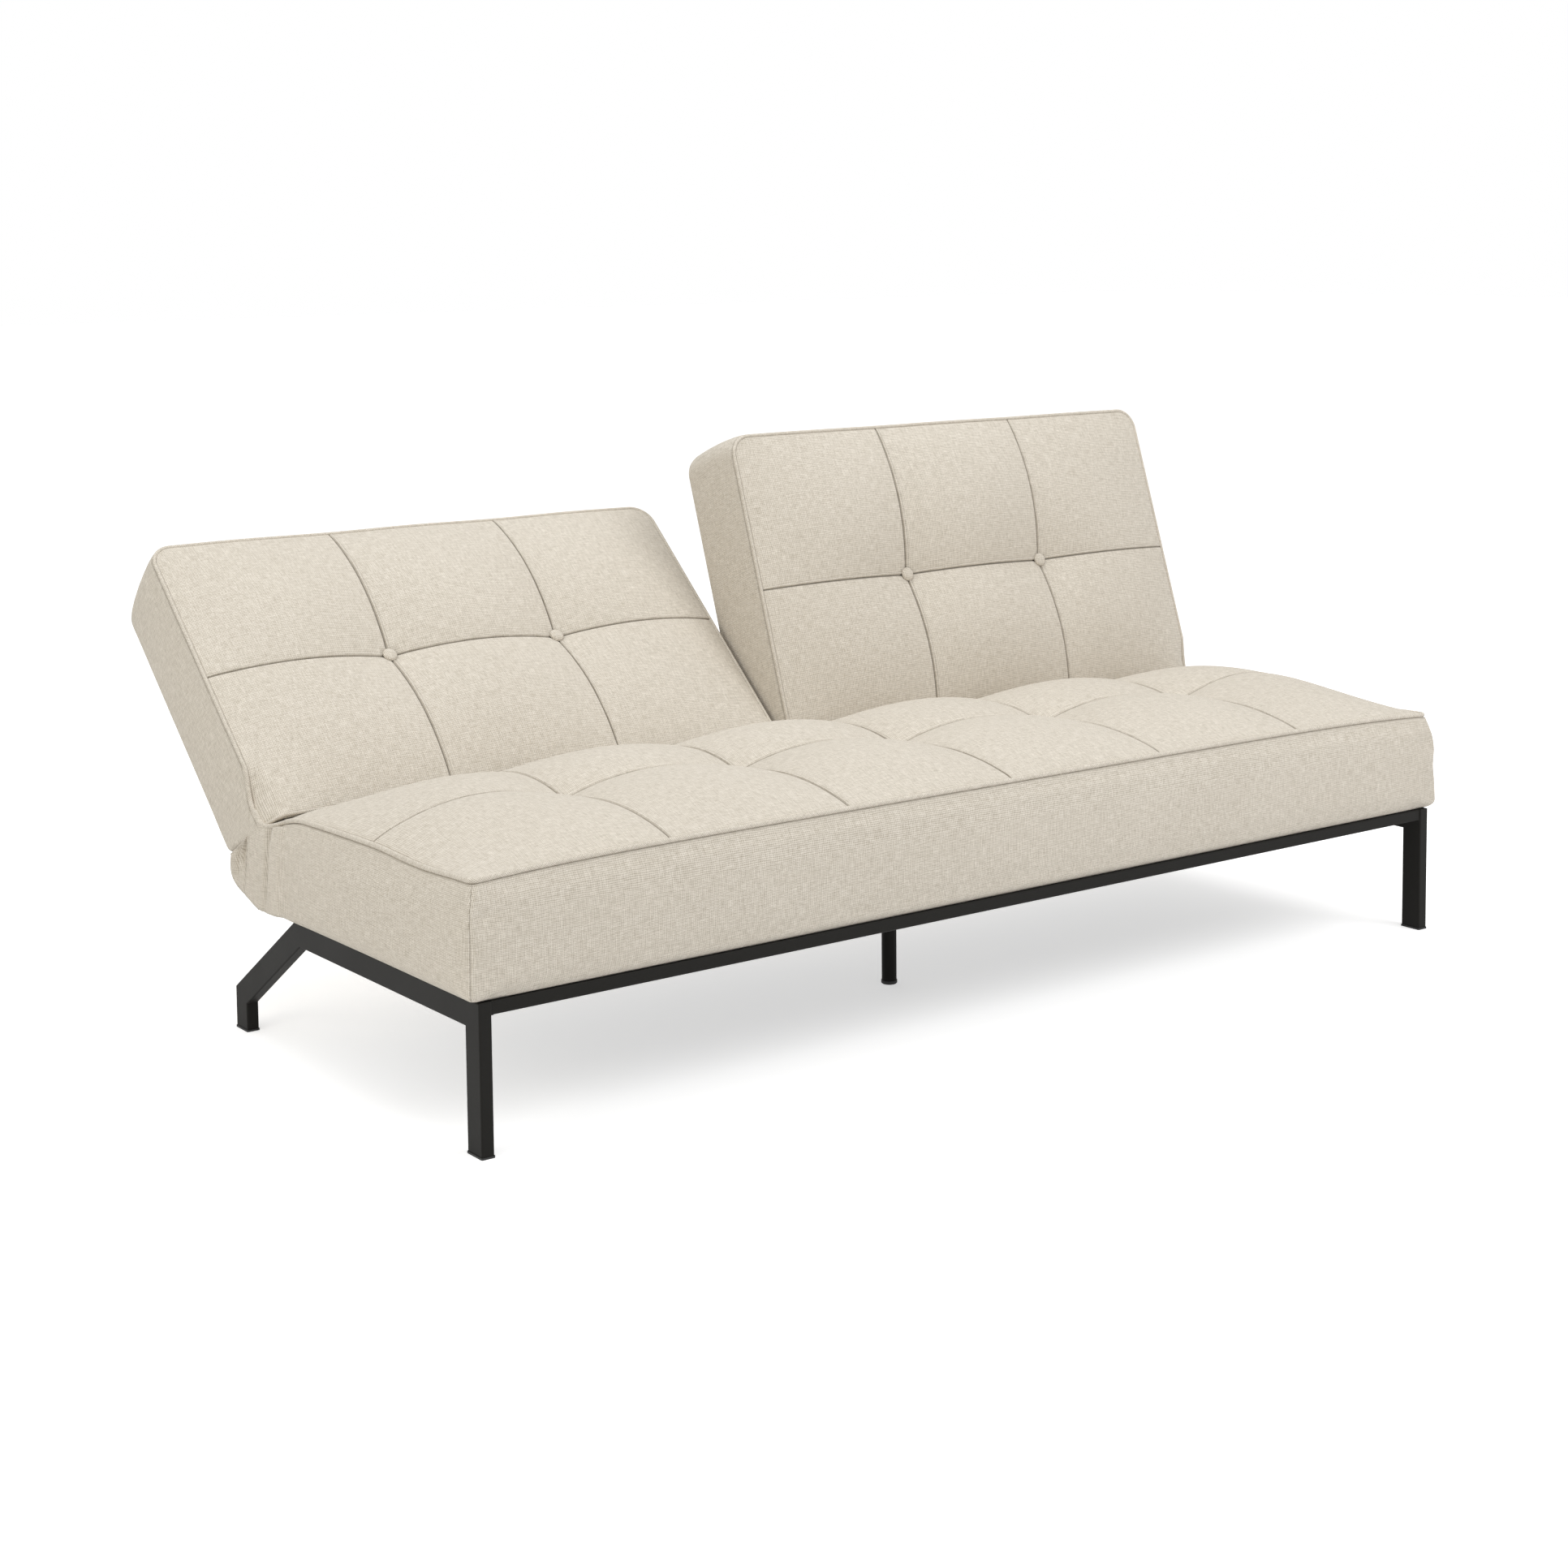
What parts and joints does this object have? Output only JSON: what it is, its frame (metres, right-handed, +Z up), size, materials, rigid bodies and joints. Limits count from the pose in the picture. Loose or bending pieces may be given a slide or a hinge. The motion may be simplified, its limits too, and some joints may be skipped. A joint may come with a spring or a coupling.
{
  "type": "sofa bed",
  "caption": "Click-clack sofa bed: tufted seat box on a low black steel tube frame, with a split back whose halves recline separately on ratchet hinges until they lie flat.",
  "frame": {"origin": "the point on the floor under the middle of the round centre leg, which is also the middle of the sofa's length", "axes": "+X along the sofa's length to the right as seen from the front, +Y to the rear, +Z up"},
  "size_m": [1.9862, 1.1459, 0.8919],
  "materials": {
    "frame_black": "satin",
    "foot_plastic": "matte",
    "fabric_beige": "matte",
    "underside_cloth": "matte",
    "webbing": "matte",
    "foam": "matte",
    "board": "matte",
    "zinc_steel": "satin"
  },
  "bodies": {
    "base": {"centre_leg": "frame_black", "centre_leg_glide": "foot_plastic", "centre_rail": "frame_black", "dust_cover": "underside_cloth", "frame_bolts": "zinc_steel", "front_rail": "frame_black", "hinge_rivets": "zinc_steel", "leg_plugs": "foot_plastic", "rear_rail": "frame_black", "seat_arm_bolts": "zinc_steel", "seat_cover": "fabric_beige", "seat_foam": "foam", "seat_front_board": "board", "seat_rear_board": "board", "seat_piping": "fabric_beige", "seat_webbing": "webbing", "left_front_leg": "frame_black", "left_end_rail": "frame_black", "left_rear_leg": "frame_black", "left_gusset": "fabric_beige", "seat_left_outer_board": "board", "left_outer_seat_arm": "zinc_steel", "seat_left_inner_board": "board", "left_inner_seat_arm": "zinc_steel", "right_front_leg": "frame_black", "right_end_rail": "frame_black", "right_rear_leg": "frame_black", "right_gusset": "fabric_beige", "seat_right_outer_board": "board", "right_outer_seat_arm": "zinc_steel", "seat_right_inner_board": "board", "right_inner_seat_arm": "zinc_steel"},
    "left_back": {"left_back_bolts": "zinc_steel", "left_back_bottom_board": "board", "left_back_top_board": "board", "left_back_inner_stile": "board", "left_back_outer_stile": "board", "left_back_webbing": "webbing", "left_back_cover": "fabric_beige", "left_back_rear_panel": "fabric_beige", "left_back_buttons": "fabric_beige", "left_back_piping": "fabric_beige", "left_outer_back_arm": "zinc_steel", "left_inner_back_arm": "zinc_steel"},
    "left_outer_pawl": {"left_outer_pawl": "zinc_steel"},
    "left_inner_pawl": {"left_inner_pawl": "zinc_steel"},
    "right_back": {"right_back_bolts": "zinc_steel", "right_back_bottom_board": "board", "right_back_top_board": "board", "right_back_inner_stile": "board", "right_back_outer_stile": "board", "right_back_webbing": "webbing", "right_back_cover": "fabric_beige", "right_back_rear_panel": "fabric_beige", "right_back_buttons": "fabric_beige", "right_back_piping": "fabric_beige", "right_outer_back_arm": "zinc_steel", "right_inner_back_arm": "zinc_steel"},
    "right_outer_pawl": {"right_outer_pawl": "zinc_steel"},
    "right_inner_pawl": {"right_inner_pawl": "zinc_steel"}
  },
  "joints": [
    {"name": "left_back_hinge", "type": "hinge", "parent": "base", "child": "left_back", "pos_m": [-0.497, 0.31, 0.34], "axis": [-1, 0, 0], "range_deg": [-37.7, 41.7], "deforming": ["left_gusset"]},
    {"name": "left_outer_pawl_pivot", "type": "hinge", "parent": "base", "child": "left_outer_pawl", "pos_m": [-0.9524, 0.25877, 0.32204], "axis": [1, 0, 0], "range_deg": [-8, 6], "stiffness_Nm_per_rad": 0.5},
    {"name": "left_inner_pawl_pivot", "type": "hinge", "parent": "base", "child": "left_inner_pawl", "pos_m": [-0.0416, 0.25877, 0.32204], "axis": [1, 0, 0], "range_deg": [-8, 6], "stiffness_Nm_per_rad": 0.5},
    {"name": "right_back_hinge", "type": "hinge", "parent": "base", "child": "right_back", "pos_m": [0.497, 0.31, 0.34], "axis": [-1, 0, 0], "range_deg": [-8, 71.4], "deforming": ["right_gusset"]},
    {"name": "right_outer_pawl_pivot", "type": "hinge", "parent": "base", "child": "right_outer_pawl", "pos_m": [0.9524, 0.25877, 0.32204], "axis": [1, 0, 0], "range_deg": [-8, 6], "stiffness_Nm_per_rad": 0.5},
    {"name": "right_inner_pawl_pivot", "type": "hinge", "parent": "base", "child": "right_inner_pawl", "pos_m": [0.0416, 0.25877, 0.32204], "axis": [1, 0, 0], "range_deg": [-8, 6], "stiffness_Nm_per_rad": 0.5}
  ]
}
